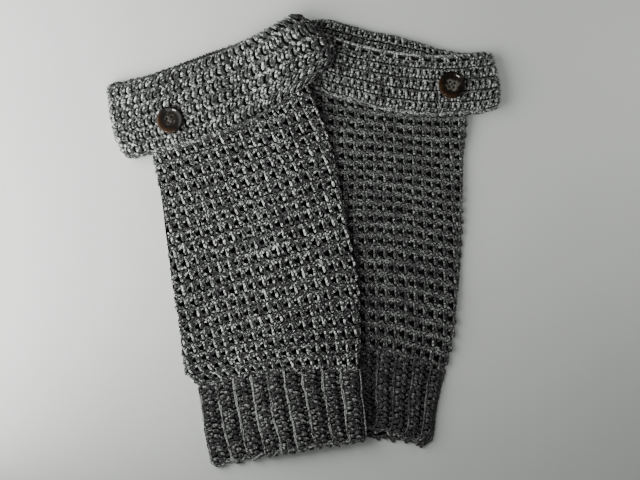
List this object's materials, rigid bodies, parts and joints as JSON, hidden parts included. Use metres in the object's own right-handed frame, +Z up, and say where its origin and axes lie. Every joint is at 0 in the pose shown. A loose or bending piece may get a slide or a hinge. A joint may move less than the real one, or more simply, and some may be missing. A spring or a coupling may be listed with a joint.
{
  "type": "pair of leg warmers",
  "caption": "Pair of crocheted wool leg warmers laid flat, one partly on the other, with ribbed ankle cuffs, open mesh legs and buttoned, turned-down top bands.",
  "frame": {"origin": "centre of the footprint of the pair, on the surface that it lies on", "axes": "+Z up from the surface, +Y along the legs from the ankle cuffs to the top bands, +X to the viewer's right"},
  "size_m": [0.3596, 0.4167, 0.0282],
  "materials": {
    "rib_wool": "marled grey wool, ribbed",
    "mesh_wool": "marled grey wool, open mesh stitch",
    "band_wool": "marled grey wool, dense stitch",
    "horn": "polished dark brown horn look"
  },
  "bodies": {
    "root": {"left_rib_cuff": "rib_wool", "left_leg_tube": "mesh_wool", "left_top_band": "band_wool", "left_button": "horn", "right_rib_cuff": "rib_wool", "right_leg_tube": "mesh_wool", "right_top_band": "band_wool", "right_button": "horn"}
  },
  "joints": []
}
